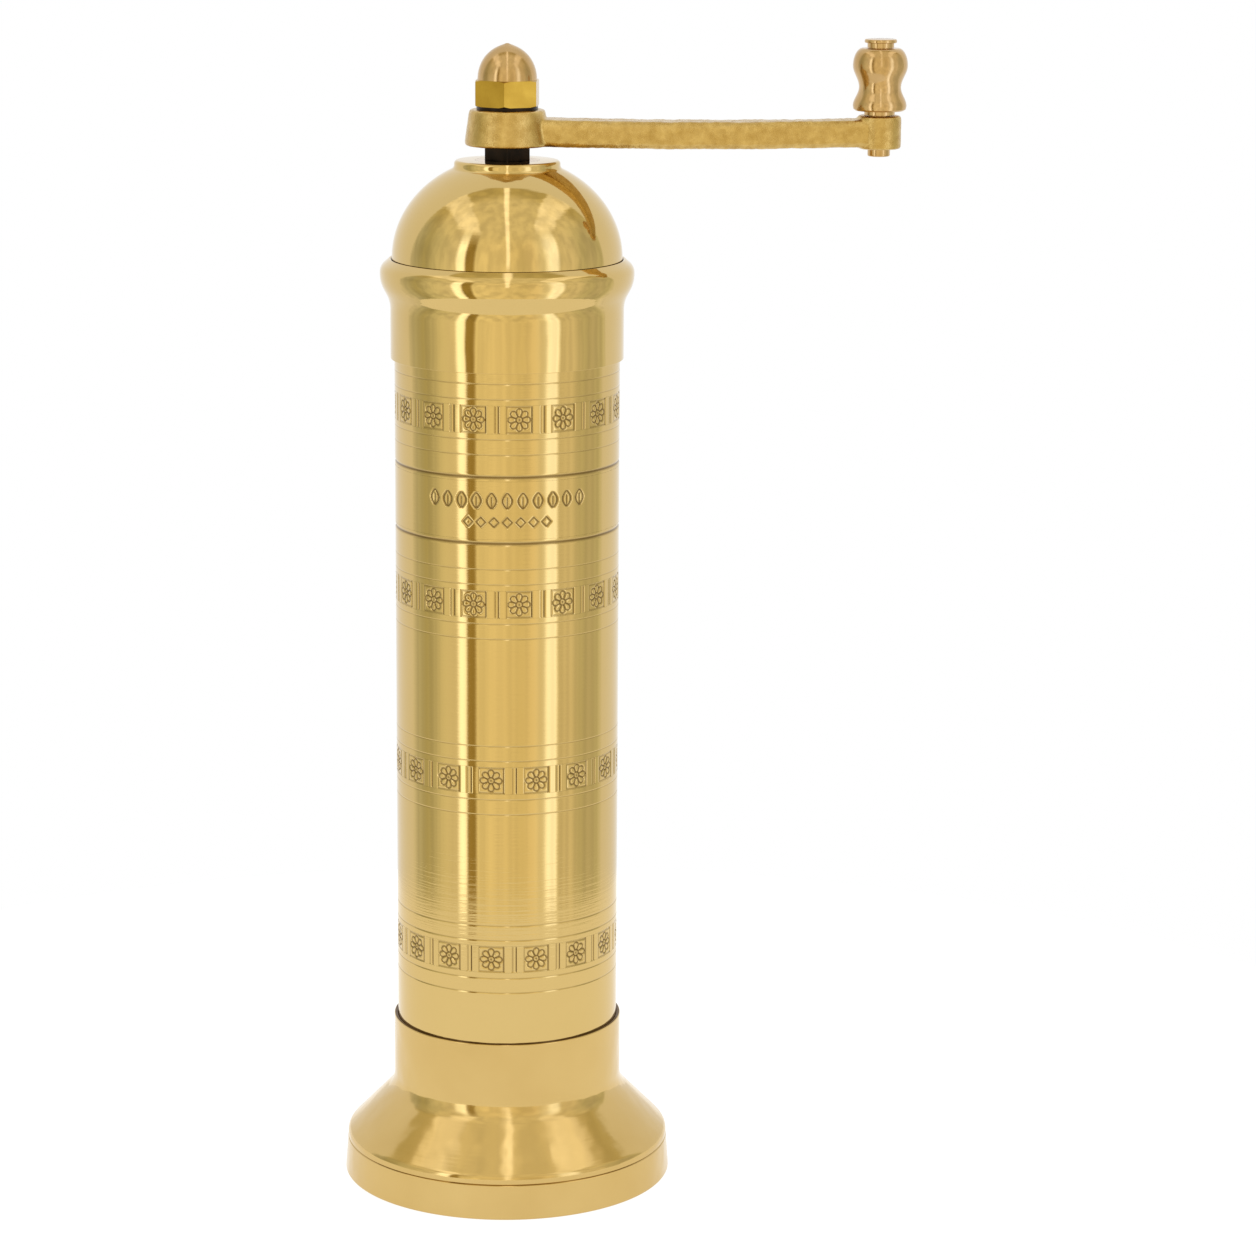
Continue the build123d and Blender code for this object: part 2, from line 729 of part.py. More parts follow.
# ================= nut =================
with BuildPart() as nut_washer:
    with BuildSketch(Plane.XY.offset(hub_top)):
        Circle(washer_r)
        Circle(thread_r + running_gap, mode=Mode.SUBTRACT)
    extrude(amount=washer_thickness)
save(nut_washer.part, "nut_washer")

# one turned outline, then the six flats
nut_tip = nut_top + nut_dome_height
nut_bore_r = thread_r + running_gap
nut_bore_top = thread_top + running_gap
with BuildPart() as acorn_nut:
    with BuildSketch(Plane.XZ):
        with BuildLine():
            Polyline(
                (nut_tip_r, nut_tip),
                (0, nut_tip),
                (0, nut_bore_top),
                (nut_bore_r, nut_bore_top),
                (nut_bore_r, washer_top),
                (nut_corner_r - nut_chamfer, washer_top),
                (nut_corner_r, washer_top + nut_chamfer / 2),
                (nut_corner_r, nut_top - nut_chamfer / 2),
                (nut_corner_r - nut_chamfer, nut_top),
                (nut_dome_r, nut_top),
            )
            Spline(
                (nut_dome_r, nut_top),
                (nut_shoulder_r, nut_top + nut_shoulder_height),
                (nut_tip_r, nut_tip),
                tangents=((0, 1), (-1, nut_tip_slope)),
            )
        make_face()
    revolve(axis=Axis.Z)
    with BuildSketch(Plane.XY.offset(washer_top)):
        RegularPolygon(nut_corner_r, 6, rotation=nut_turned)
    extrude(amount=nut_hex_height + nut_dome_height, mode=Mode.INTERSECT)
save(acorn_nut.part, "acorn_nut")
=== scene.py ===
import math

import bmesh
import bpy
from mathutils import Matrix, Vector, noise


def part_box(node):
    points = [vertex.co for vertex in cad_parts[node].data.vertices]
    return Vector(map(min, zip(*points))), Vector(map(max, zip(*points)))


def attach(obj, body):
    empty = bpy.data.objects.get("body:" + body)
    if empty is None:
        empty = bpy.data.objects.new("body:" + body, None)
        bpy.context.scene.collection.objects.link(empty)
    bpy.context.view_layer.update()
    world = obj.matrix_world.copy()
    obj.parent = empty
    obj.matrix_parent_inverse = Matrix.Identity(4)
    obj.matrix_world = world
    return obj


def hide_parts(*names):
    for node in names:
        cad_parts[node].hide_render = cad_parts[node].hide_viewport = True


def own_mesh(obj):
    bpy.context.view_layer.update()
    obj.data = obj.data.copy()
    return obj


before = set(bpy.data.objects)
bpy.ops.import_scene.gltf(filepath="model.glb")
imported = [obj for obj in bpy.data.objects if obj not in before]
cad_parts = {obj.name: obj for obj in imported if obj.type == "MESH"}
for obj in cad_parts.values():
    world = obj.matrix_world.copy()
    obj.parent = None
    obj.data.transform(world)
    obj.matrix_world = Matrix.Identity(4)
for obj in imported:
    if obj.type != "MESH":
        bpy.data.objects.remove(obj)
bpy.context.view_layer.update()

mm = 0.001
fullTurn = 2 * math.pi
mergeDistance = 1e-7
largeRings = 192        # faces round the foot, the barrel and the lid
print("frame loaded with", len(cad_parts), "nodes")


# outlines are lists of (radius, height) in millimetres; a third number rounds that corner
def roundedOutline(corners, steps=6):
    outline = []
    for index, corner in enumerate(corners):
        here = Vector(corner[:2])
        if len(corner) < 3:
            outline.append(here)
            continue
        back = (Vector(corners[index - 1][:2]) - here).normalized()
        onward = (Vector(corners[(index + 1) % len(corners)][:2]) - here).normalized()
        half = math.acos(max(-1, min(1, back.dot(onward)))) / 2
        centre = here + (back + onward).normalized() * corner[2] / math.sin(half)
        first = here + back * corner[2] / math.tan(half) - centre
        last = here + onward * corner[2] / math.tan(half) - centre
        sweep = math.atan2(first.cross(last), first.dot(last))
        for step in range(steps + 1):
            outline.append(centre + Matrix.Rotation(sweep * step / steps, 2) @ first)
    return outline


# spins a closed outline about a vertical axis
def turnedBmesh(outline, rings, axisX=0.0):
    mesh = bmesh.new()
    corners = [mesh.verts.new((r * mm, 0, z * mm)) for r, z in outline]
    edges = [mesh.edges.new(pair) for pair in zip(corners, corners[1:] + corners[:1])]
    bmesh.ops.spin(mesh, geom=corners + edges, cent=(0, 0, 0), axis=(0, 0, 1), angle=fullTurn,
                   steps=rings, use_merge=True, use_duplicate=False)
    bmesh.ops.remove_doubles(mesh, verts=mesh.verts, dist=mergeDistance)
    bmesh.ops.recalc_face_normals(mesh, faces=mesh.faces)
    bmesh.ops.translate(mesh, verts=mesh.verts, vec=(axisX, 0, 0))
    return mesh


# marks the vertices, by radius and height in millimetres, that get painted shade in hollows and gaps
def darken(mesh, chosen, amount=1.0):
    recessShade = mesh.verts.layers.float.get("recessShade") or mesh.verts.layers.float.new("recessShade")
    for vert in mesh.verts:
        if chosen(math.hypot(vert.co.x, vert.co.y) / mm, vert.co.z / mm):
            vert[recessShade] = amount


# wraps a flat strip round the axis, its rows at the points of a closed outline; much quicker than a spin
def wrappedBmesh(outline, columns):
    rows = len(outline)
    mesh = bmesh.new()
    bmesh.ops.create_grid(mesh, x_segments=columns, y_segments=rows, size=1)
    for vert in mesh.verts:
        angle = math.pi * (vert.co.x + 1)
        radius, height = outline[round((vert.co.y + 1) / 2 * rows) % rows]
        vert.co = Vector((radius * math.sin(angle), radius * math.cos(angle), height)) * mm
    bmesh.ops.remove_doubles(mesh, verts=mesh.verts, dist=mergeDistance)
    bmesh.ops.recalc_face_normals(mesh, faces=mesh.faces)
    return mesh


# turns a bmesh into a piece that is smooth but for edges sharper than the angle
def finishPiece(name, mesh, material, sharpAngle=32):
    data = bpy.data.meshes.new(name)
    mesh.to_mesh(data)
    mesh.free()
    piece = bpy.data.objects.new(name, data)
    bpy.context.scene.collection.objects.link(piece)
    data.shade_smooth()
    data.set_sharp_from_angle(angle=math.radians(sharpAngle))
    data.materials.append(material)
    return piece


# applies the piece's modifiers to its mesh
def settle(piece):
    shape = piece.evaluated_get(bpy.context.evaluated_depsgraph_get())
    data = bpy.data.meshes.new_from_object(shape)
    piece.modifiers.clear()
    piece.data = data


# says which body a piece rides on, and the CAD nodes that it stands for
def place(piece, body, slot, *nodes):
    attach(piece, body)
    if nodes:
        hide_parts(*nodes)
    return piece


# shader groups that the metals share
# the roughness added goes with the painted shade in hollows
surface = {"flatten": 0.03, "lineDetail": 4.0, "waveDetail": 1.0, "patchDetail": 5.0,
           "grainDetail": 6.0, "recessRoughness": 0.25}


def newGroup(name, inputs, outputs):
    group = bpy.data.node_groups.new(name, "ShaderNodeTree")
    for label, value in inputs.items():
        socket = group.interface.new_socket(label, in_out="INPUT", socket_type="NodeSocketFloat")
        socket.default_value = value
    for label in outputs:
        group.interface.new_socket(label, in_out="OUTPUT", socket_type="NodeSocketFloat")
    return group, group.nodes.new("NodeGroupInput"), group.nodes.new("NodeGroupOutput")


def mathNode(tree, operation, first, second=None):
    node = tree.nodes.new("ShaderNodeMath")
    node.operation = operation
    for socket, value in zip(node.inputs, (first, second)):
        if isinstance(value, (int, float)):
            socket.default_value = value
        elif value is not None:
            tree.links.new(value, socket)
    return node.outputs[0]


def noiseNode(tree, vector, scale, detail=3.0):
    node = tree.nodes.new("ShaderNodeTexNoise")
    tree.links.new(vector, node.inputs["Vector"])
    if isinstance(scale, (int, float)):
        node.inputs["Scale"].default_value = scale
    else:
        tree.links.new(scale, node.inputs["Scale"])
    node.inputs["Detail"].default_value = detail
    return node.outputs["Fac"]


# height in metres of the fine lines round the axis and of the slow waves that spinning leaves
def makeLatheSurface():
    sockets = {"Lines": 900.0, "Line Depth": 1e-6, "Waves": 100.0, "Wave Depth": 0.0}
    group, inputs, outputs = newGroup("latheSurface", sockets, ["Height"])
    coords = group.nodes.new("ShaderNodeTexCoord").outputs["Object"]
    apart = group.nodes.new("ShaderNodeSeparateXYZ")
    group.links.new(coords, apart.inputs[0])
    flat = group.nodes.new("ShaderNodeCombineXYZ")
    group.links.new(mathNode(group, "MULTIPLY", apart.outputs["X"], surface["flatten"]), flat.inputs["X"])
    group.links.new(mathNode(group, "MULTIPLY", apart.outputs["Y"], surface["flatten"]), flat.inputs["Y"])
    group.links.new(apart.outputs["Z"], flat.inputs["Z"])
    lines = noiseNode(group, flat.outputs[0], inputs.outputs["Lines"], surface["lineDetail"])
    lines = mathNode(group, "MULTIPLY", lines, inputs.outputs["Line Depth"])
    waves = noiseNode(group, coords, inputs.outputs["Waves"], surface["waveDetail"])
    waves = mathNode(group, "MULTIPLY", waves, inputs.outputs["Wave Depth"])
    group.links.new(mathNode(group, "ADD", lines, waves), outputs.inputs["Height"])
    return group


# soft cloudy patches, from 0 to 1
def makePatches():
    group, inputs, outputs = newGroup("patches", {"Scale": 40.0, "Contrast": 2.0}, ["Mask"])
    coords = group.nodes.new("ShaderNodeTexCoord").outputs["Object"]
    cloud = noiseNode(group, coords, inputs.outputs["Scale"], surface["patchDetail"])
    middle = mathNode(group, "SUBTRACT", cloud, 0.5)
    spread = mathNode(group, "MULTIPLY", middle, inputs.outputs["Contrast"])
    clamped = mathNode(group, "ADD", spread, 0.5)
    group.nodes[-1].use_clamp = True
    group.links.new(clamped, outputs.inputs["Mask"])
    return group


latheSurface = makeLatheSurface()
patches = makePatches()


def placeGroup(tree, group, values):
    node = tree.nodes.new("ShaderNodeGroup")
    node.node_tree = group
    for label, value in values.items():
        node.inputs[label].default_value = value
    return node


def mixColours(tree, factor, first, second):
    node = tree.nodes.new("ShaderNodeMix")
    node.data_type = "RGBA"
    tree.links.new(factor, node.inputs["Factor"])
    for socket, value in zip((node.inputs[6], node.inputs[7]), (first, second)):
        if isinstance(value, tuple):
            socket.default_value = (*value, 1)
        else:
            tree.links.new(value, socket)
    return node.outputs[2]


def mixNumbers(tree, factor, low, high):
    spread = tree.nodes.new("ShaderNodeMapRange")
    tree.links.new(factor, spread.inputs["Value"])
    spread.inputs["To Min"].default_value = low
    spread.inputs["To Max"].default_value = high
    return spread.outputs[0]


# one metal: two tones in patches, lathe lines, grain, and painted shade in hollows, rougher there
def metalMaterial(name, look):
    material = bpy.data.materials.new(name)
    material.use_nodes = True
    tree = material.node_tree
    shader = tree.nodes["Principled BSDF"]
    shader.inputs["Metallic"].default_value = 1.0
    cloud = placeGroup(tree, patches, look["patches"])
    colour = mixColours(tree, cloud.outputs["Mask"], look["colour"], look["secondColour"])
    roughness = mixNumbers(tree, cloud.outputs["Mask"], *look["roughness"])
    # painted shade: the hollows mask darkens the colour and roughens it
    if "recessShade" in look:
        shadeMask = tree.nodes.new("ShaderNodeAttribute")
        shadeMask.attribute_name = "recessShade"
        colour = mixColours(tree, shadeMask.outputs["Fac"], colour, look["recessShade"])
        dulled = mathNode(tree, "MULTIPLY", shadeMask.outputs["Fac"], surface["recessRoughness"])
        roughness = mathNode(tree, "ADD", roughness, dulled)
    tree.links.new(colour, shader.inputs["Base Color"])
    tree.links.new(roughness, shader.inputs["Roughness"])
    lathe = placeGroup(tree, latheSurface, look["turned"])
    bump = tree.nodes.new("ShaderNodeBump")
    bump.inputs["Distance"].default_value = 1.0
    tree.links.new(lathe.outputs["Height"], bump.inputs["Height"])
    if "grainDepth" in look:
        coords = tree.nodes.new("ShaderNodeTexCoord").outputs["Object"]
        grain = tree.nodes.new("ShaderNodeBump")
        grain.inputs["Distance"].default_value = look["grainDepth"]
        rough = noiseNode(tree, coords, look["grainScale"], surface["grainDetail"])
        tree.links.new(rough, grain.inputs["Height"])
        tree.links.new(bump.outputs[0], grain.inputs["Normal"])
        bump = grain
    tree.links.new(bump.outputs[0], shader.inputs["Normal"])
    return material


def turned(lines, lineDepth, waves=100.0, waveDepth=0.0):
    return {"Lines": lines, "Line Depth": lineDepth, "Waves": waves, "Wave Depth": waveDepth}


polishedBrass = metalMaterial("polishedBrass", {
    "colour": (0.640, 0.460, 0.178), "secondColour": (0.610, 0.432, 0.160),
    # the dark colour below is painted shade for hollows and gaps
    "recessShade": (0.13, 0.07, 0.018),
    "patches": {"Scale": 35.0, "Contrast": 2.0}, "roughness": (0.05, 0.09),
    "turned": turned(2400.0, 16e-6, 70.0, 40e-6),
})
spunBrass = metalMaterial("spunBrass", {
    "colour": (0.640, 0.460, 0.178), "secondColour": (0.610, 0.432, 0.160),
    # the dark colour below is painted shade for hollows and gaps
    "recessShade": (0.10, 0.05, 0.012),
    "patches": {"Scale": 45.0, "Contrast": 2.0}, "roughness": (0.04, 0.08),
    "turned": turned(2200.0, 8e-6, 110.0, 110e-6),
})
footBrass = metalMaterial("footBrass", {
    # the dark colour below is painted shade for hollows and gaps
    "colour": (0.640, 0.450, 0.172), "secondColour": (0.590, 0.405, 0.145),
    "recessShade": (0.10, 0.05, 0.012),
    "patches": {"Scale": 60.0, "Contrast": 2.2}, "roughness": (0.09, 0.16),
    "turned": turned(2000.0, 10e-6, 190.0, 150e-6),
})
turnedBrass = metalMaterial("turnedBrass", {
    "colour": (0.62, 0.42, 0.20), "secondColour": (0.50, 0.32, 0.125),
    "patches": {"Scale": 160.0, "Contrast": 2.5}, "roughness": (0.10, 0.18),
    "turned": turned(4000.0, 6e-6),
})
nutBrass = metalMaterial("nutBrass", {
    "colour": (0.50, 0.31, 0.045), "secondColour": (0.40, 0.235, 0.03),
    "patches": {"Scale": 220.0, "Contrast": 2.5}, "roughness": (0.14, 0.22),
    "turned": turned(5000.0, 4e-6),
})
castBrass = metalMaterial("castBrass", {
    "colour": (0.62, 0.43, 0.15), "secondColour": (0.47, 0.30, 0.085),
    "patches": {"Scale": 600.0, "Contrast": 2.4}, "roughness": (0.15, 0.32),
    "turned": turned(1500.0, 4e-6),
    "grainScale": 4200.0, "grainDepth": 55e-6,
})
darkSteel = metalMaterial("darkSteel", {
    "colour": (0.016, 0.012, 0.01), "secondColour": (0.035, 0.022, 0.015),
    "patches": {"Scale": 300.0, "Contrast": 3.0}, "roughness": (0.28, 0.45),
    "turned": turned(3000.0, 5e-6),
})
zincSteel = metalMaterial("zincSteel", {
    "colour": (0.62, 0.62, 0.60), "secondColour": (0.50, 0.50, 0.49),
    "patches": {"Scale": 200.0, "Contrast": 3.0}, "roughness": (0.28, 0.42),
    "turned": turned(2500.0, 4e-6),
})
castIron = metalMaterial("castIron", {
    "colour": (0.17, 0.16, 0.15), "secondColour": (0.10, 0.095, 0.09),
    "patches": {"Scale": 300.0, "Contrast": 2.5}, "roughness": (0.45, 0.65),
    "turned": turned(2500.0, 4e-6),
    "grainScale": 3000.0, "grainDepth": 80e-6,
})
print("materials made")

# foot, a cup whose flared skirt stands under a collar
foot = {"wall": 1.2, "bandTop": 8.71, "bandTaper": 0.6, "shoulderRound": 2.0, "flareRound": 5.5,
        "flareEnd": 18.56, "collarWall": 0.7, "collarFit": 0.05, "rimRound": 0.5,
        "lipRound": 0.15, "lipInnerRound": 0.1, "lipShade": (0.2, 0.12), "cupUnder": 0.5, "cupRound": 1.0,
        "lineUnder": 1.6, "lineDepth": 0.22, "lineHalf": 0.2, "lineLean": 0.02, "lineReach": 0.05,
        "lineSkin": 1.0, "lineShade": 0.35, "cornerSteps": 14}


def buildFoot():
    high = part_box("foot_shell")[1] / mm
    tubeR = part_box("barrel_tube")[1].x / mm
    footR, top = high.x, high.z
    collarBore = tubeR + foot["collarFit"]
    collarR = collarBore + foot["collarWall"]
    bandR = footR - foot["bandTaper"]
    lineZ = foot["bandTop"] - foot["lineUnder"]
    half, lean = foot["lineHalf"], foot["lineLean"]
    outline = roundedOutline([
        (bandR - foot["wall"], 0.0),
        (footR, 0.0, foot["rimRound"]),
        (bandR + lean * 3, lineZ - half),
        (bandR + lean * 2 - foot["lineDepth"], lineZ),
        (bandR + lean, lineZ + half),
        (bandR, foot["bandTop"], foot["shoulderRound"]),
        (collarR, foot["flareEnd"], foot["flareRound"]),
        (collarR, top, foot["lipRound"]),
        (collarBore, top, foot["lipInnerRound"]),
        (collarBore, foot["flareEnd"], foot["flareRound"]),
        (bandR - foot["wall"], foot["bandTop"] - foot["cupUnder"], foot["cupRound"]),
    ], steps=foot["cornerSteps"])
    mesh = turnedBmesh(outline, largeRings)
    # painted shade: darkens the inner lip where the tube enters the collar and the groove under the band
    lipDown, lipIn = foot["lipShade"]
    darken(mesh, lambda r, z: z > top - lipDown and r < collarR - lipIn)
    darken(mesh, lambda r, z: abs(z - lineZ) < foot["lineReach"] and r > bandR - foot["lineSkin"],
           foot["lineShade"])
    place(finishPiece("footShell", mesh, footBrass), "foot", "brass_polished", "foot_shell")


buildFoot()
print("foot made")

# barrel, a tube with turned lines, four rows of stamps and an engraved panel
barrel = {"rowHeights": (50.5, 87.0, 122.3, 158.6), "rowHalf": 2.75, "sleeve": 0.35, "gap": 0.02,
          "wall": 1.0, "fineLines": (3.9, 6.9), "fineDepth": 0.06, "fineHalf": 0.2,
          "panelMiddle": 140.85, "panelLine": 6.5, "panelDepth": 0.17, "panelHalf": 0.5, "panelRow": 5.7,
          "panelColumns": 720, "rowStep": 0.16, "skin": 0.1, "lineSteps": 4, "lineSpare": 1.5,
          "shadeFrom": 0.01, "shadeGain": 5, "shadePower": 0.8}
stamp = {"pitch": 23.3, "lead": 0.4, "starts": (-8.3, -8.3, 6.0, 6.0), "columns": 864,
         "half": 2.5, "spare": 0.15, "frame": 2.45, "frameStrength": 0.45, "flowerReach": 2.6,
         "petals": 8, "petalAt": 1.62, "petalR": 0.56, "petalIn": 0.1, "petalStrength": 0.9,
         "ringR": 0.62, "ringLine": 0.17, "gapLine": 0.2, "pitR": 0.3, "pitStrength": 0.8,
         "line": 0.16, "depth": 0.2, "dimple": 0.07, "dimpleWide": 1.9, "dimpleTall": 2.2,
         "sides": ((-2.45, 0.4), (2.5, 0.95), (4.3, 0.45), (5.0, 1.0))}
# the panel's plain border: a row of upright leaves over a shorter row of lozenges
ornament = {"leafPitch": 3.05, "leafTall": 3.3, "leafWide": 0.92, "leafUp": 1.9, "leafReach": 15.4,
            "veinEnd": 0.75, "veinLine": 0.2, "veinStrength": 0.8, "lozengePitch": 2.6,
            "lozengeHalf": 0.95, "lozengeUp": -2.3, "lozengeReach": 8.0, "line": 0.24}


# how strongly a line cuts at this distance from its middle, 0 to 1
def cut(distance, reach=stamp["line"]):
    return max(0.0, 1 - (distance / reach) ** 2) if abs(distance) < reach else 0.0


# one flower in its frame and the bars beside it, in millimetres from the flower's middle
def stampDepth(across, up):
    if abs(up) > stamp["half"] + stamp["spare"]:
        return 0.0
    bar = max(strength * cut(across - at) for at, strength in stamp["sides"])
    if abs(across) < stamp["frame"]:
        bar = max(bar, stamp["frameStrength"] * cut(abs(up) - stamp["half"]))
    radius = math.hypot(across, up)
    if radius > stamp["flowerReach"]:
        return bar
    spacing = fullTurn / stamp["petals"]
    turn = math.atan2(up, across) / spacing
    toPetal = (turn - round(turn)) * spacing
    toGap = (turn - math.floor(turn) - 0.5) * spacing
    flower = max(cut(radius - stamp["ringR"], stamp["ringLine"]),
                 stamp["pitStrength"] * cut(radius, stamp["pitR"]))
    fromPetal = math.hypot(radius * math.cos(toPetal) - stamp["petalAt"], radius * math.sin(toPetal))
    if radius > stamp["petalAt"] - stamp["petalIn"]:
        petal = cut(fromPetal - stamp["petalR"], stamp["ringLine"])
        flower = max(flower, stamp["petalStrength"] * petal)
    elif radius > stamp["ringR"]:
        flower = max(flower, cut(radius * math.sin(toGap), stamp["gapLine"]))
    return max(bar, flower)


# how far a place is from the nearest of many that stand at one pitch
def fromNearest(across, pitch):
    return across - round(across / pitch) * pitch


def ornamentDepth(across, up):
    depth = 0.0
    leaf = fromNearest(across, ornament["leafPitch"])
    along = (up - ornament["leafUp"]) / ornament["leafTall"] + 0.5
    if abs(across - leaf) <= ornament["leafReach"] and 0 < along < 1:
        edge = ornament["leafWide"] * math.sin(math.pi * along)
        vein = ornament["veinStrength"] * cut(leaf, ornament["veinLine"]) * (along < ornament["veinEnd"])
        depth = max(cut(abs(leaf) - edge, ornament["line"]), vein)
    lozenge = fromNearest(across, ornament["lozengePitch"])
    if abs(across - lozenge) <= ornament["lozengeReach"]:
        inside = abs(lozenge) + abs(up - ornament["lozengeUp"])
        depth = max(depth, cut(inside - ornament["lozengeHalf"], ornament["line"]))
    return depth


# a closed sleeve let into the tube, its outside cut by a pattern
def patternedSleeve(name, middle, half, tubeR, pattern, columns):
    rows = int(2 * half / barrel["rowStep"])
    outline = [(tubeR - barrel["sleeve"], middle - half)]
    outline += [(tubeR, middle - half + 2 * half * step / rows) for step in range(rows + 1)]
    outline += [(tubeR - barrel["sleeve"], middle + half)]
    mesh = wrappedBmesh(outline, columns)
    # painted shade: the stamped and engraved lines darken with their depth
    recessShade = mesh.verts.layers.float.new("recessShade")
    for vert in mesh.verts:
        if math.hypot(vert.co.x, vert.co.y) < (tubeR - barrel["skin"]) * mm:
            continue
        degrees = math.degrees(math.atan2(vert.co.x, -vert.co.y))
        amount, dimple = pattern(degrees, vert.co.z / mm - middle)
        shrink = 1 - (amount * stamp["depth"] + dimple * stamp["dimple"]) / tubeR
        vert.co.x *= shrink
        vert.co.y *= shrink
        vert[recessShade] = amount ** barrel["shadePower"]
    place(finishPiece(name, mesh, polishedBrass, 70), "barrel", "brass_polished")


def rowPattern(tubeR, start):
    lead = stamp["pitch"] * stamp["lead"]

    def pattern(degrees, up):
        across = math.radians((degrees - start + lead) % stamp["pitch"] - lead) * tubeR
        dimple = math.exp(-(across / stamp["dimpleWide"]) ** 2 - (up / stamp["dimpleTall"]) ** 4)
        return stampDepth(across, up), dimple
    return pattern


def buildBarrel():
    low, high = (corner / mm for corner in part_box("barrel_tube"))
    tubeR = high.x
    boreR = tubeR - barrel["wall"]
    cuts = [(row + side * gap, barrel["fineDepth"], barrel["fineHalf"])
            for row in barrel["rowHeights"] for gap in barrel["fineLines"] for side in (-1, 1)]
    cuts += [(barrel["panelMiddle"] + side * barrel["panelLine"], barrel["panelDepth"], barrel["panelHalf"])
             for side in (-1, 1)]
    cuts += [(row, barrel["sleeve"], barrel["rowHalf"]) for row in barrel["rowHeights"]]
    cuts.append((barrel["panelMiddle"], barrel["sleeve"], barrel["panelRow"]))
    steps = barrel["lineSteps"]
    outline = [(boreR, low.z), (tubeR, low.z)]
    for z, depth, half in sorted(cuts):
        if depth == barrel["sleeve"]:
            outline += [(tubeR, z - half), (tubeR - depth, z - half),
                        (tubeR - depth, z + half), (tubeR, z + half)]
            continue
        outline.append((tubeR, z - half * barrel["lineSpare"]))
        outline += [(tubeR - depth * (1 + math.cos(math.pi * step / steps)) / 2, z + half * step / steps)
                    for step in range(-steps, steps + 1)]
        outline.append((tubeR, z + half * barrel["lineSpare"]))
    outline += [(tubeR, high.z), (boreR, high.z)]
    mesh = turnedBmesh(outline, largeRings)
    # painted shade: the turned grooves and the recesses under the sleeves darken with their depth
    recessShade = mesh.verts.layers.float.new("recessShade")
    for vert in mesh.verts:
        sunk = tubeR - math.hypot(vert.co.x, vert.co.y) / mm
        if barrel["shadeFrom"] < sunk < barrel["sleeve"] - barrel["gap"]:
            vert[recessShade] = min(1.0, sunk * barrel["shadeGain"])
    place(finishPiece("barrelTube", mesh, polishedBrass, 50), "barrel", "brass_polished", "barrel_tube")
    for index, row in enumerate(barrel["rowHeights"]):
        patternedSleeve(f"stampedRow{index + 1}", row, barrel["rowHalf"] - barrel["gap"], tubeR,
                        rowPattern(tubeR, stamp["starts"][index]), stamp["columns"])
    patternedSleeve("engravedPanel", barrel["panelMiddle"], barrel["panelRow"] - barrel["gap"], tubeR,
                    lambda degrees, up: (ornamentDepth(math.radians(degrees) * tubeR, up), 0.0),
                    barrel["panelColumns"])


buildBarrel()
print("barrel made")

# lid, a beaded ring under a dome with a boss
lid = {"fit": 0.05, "wall": 0.7, "skirtRound": 0.12, "flareFoot": 11.2, "flareRound": 6.0,
       "beadLow": 15.0, "beadLowRound": 6.4, "beadHigh": 18.0, "beadHighRound": 2.4, "beadR": 25.0,
       "topR": 23.1, "topRound": 0.3, "ledge": 0.3, "ledgeDrop": 0.15, "ledgeShade": (0.3, 0.25),
       "seatIn": 1.0, "ringSteps": 10, "domeSteps": 30, "innerSteps": 16, "domeWall": 1.2,
       "domeHeight": 19.9, "setIn": 0.45, "bossR": 10.4, "bossFootRound": 0.9, "bossTopRound": 0.7,
       "bushFit": 0.02, "spigot": 2.5, "spigotIn": 1.02, "spigotWall": 1.0, "cornerSteps": 8}


# points of an upright ellipse, from its side up to an angle
def domeArc(radius, height, base, angle, steps):
    return [(radius * math.cos(angle * step / steps), base + height * math.sin(angle * step / steps))
            for step in range(steps + 1)]


def buildLid():
    low, high = (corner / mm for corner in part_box("lid_ring"))
    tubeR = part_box("barrel_tube")[1].x / mm
    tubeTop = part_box("barrel_tube")[1].z / mm
    bore = tubeR + lid["fit"]
    skirt = bore + lid["wall"]
    seatR = tubeR - lid["seatIn"]
    ledgeZ = high.z - lid["ledgeDrop"]
    mesh = turnedBmesh(roundedOutline([
        (bore, low.z),
        (skirt, low.z, lid["skirtRound"]),
        (skirt, low.z + lid["flareFoot"], lid["flareRound"]),
        (lid["beadR"], low.z + lid["beadLow"], lid["beadLowRound"]),
        (lid["beadR"], low.z + lid["beadHigh"], lid["beadHighRound"]),
        (lid["topR"], high.z, lid["topRound"]),
        (lid["topR"] - lid["ledge"], ledgeZ),
        (seatR, ledgeZ),
        (seatR, tubeTop),
        (bore, tubeTop),
    ], steps=lid["ringSteps"]), largeRings)
    # painted shade: darkens the ledge where the dome sits in the ring
    shadeDown, shadeIn = lid["ledgeShade"]
    darken(mesh, lambda r, z: z > high.z - shadeDown and r < lid["topR"] - shadeIn)
    place(finishPiece("lidRing", mesh, spunBrass), "lid", "brass_polished", "lid_ring")

    base = high.z
    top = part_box("lid_dome")[1].z / mm
    bossR, domeHeight = lid["bossR"], lid["domeHeight"]
    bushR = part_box("lid_bush")[1].x / mm + lid["bushFit"]
    domeR = lid["topR"] - lid["setIn"]
    meets = math.acos(bossR / domeR)
    spigotR = tubeR - lid["spigotIn"]
    inR = spigotR - lid["spigotWall"]
    inner = domeArc(inR, domeHeight - lid["domeWall"], base, math.acos(bushR / inR), lid["innerSteps"])
    outline = domeArc(domeR, domeHeight, base, meets, lid["domeSteps"])[:-1]
    outline += [(bossR, base + domeHeight * math.sin(meets), lid["bossFootRound"]),
                (bossR, top, lid["bossTopRound"]), (bushR, top)]
    outline += inner[::-1]
    outline += [(inR, base - lid["spigot"]), (spigotR, base - lid["spigot"]), (spigotR, ledgeZ)]
    mesh = turnedBmesh(roundedOutline(outline, steps=lid["cornerSteps"]), largeRings)
    place(finishPiece("lidDome", mesh, spunBrass, 40), "lid", "brass_polished", "lid_dome")


buildLid()
print("lid made")

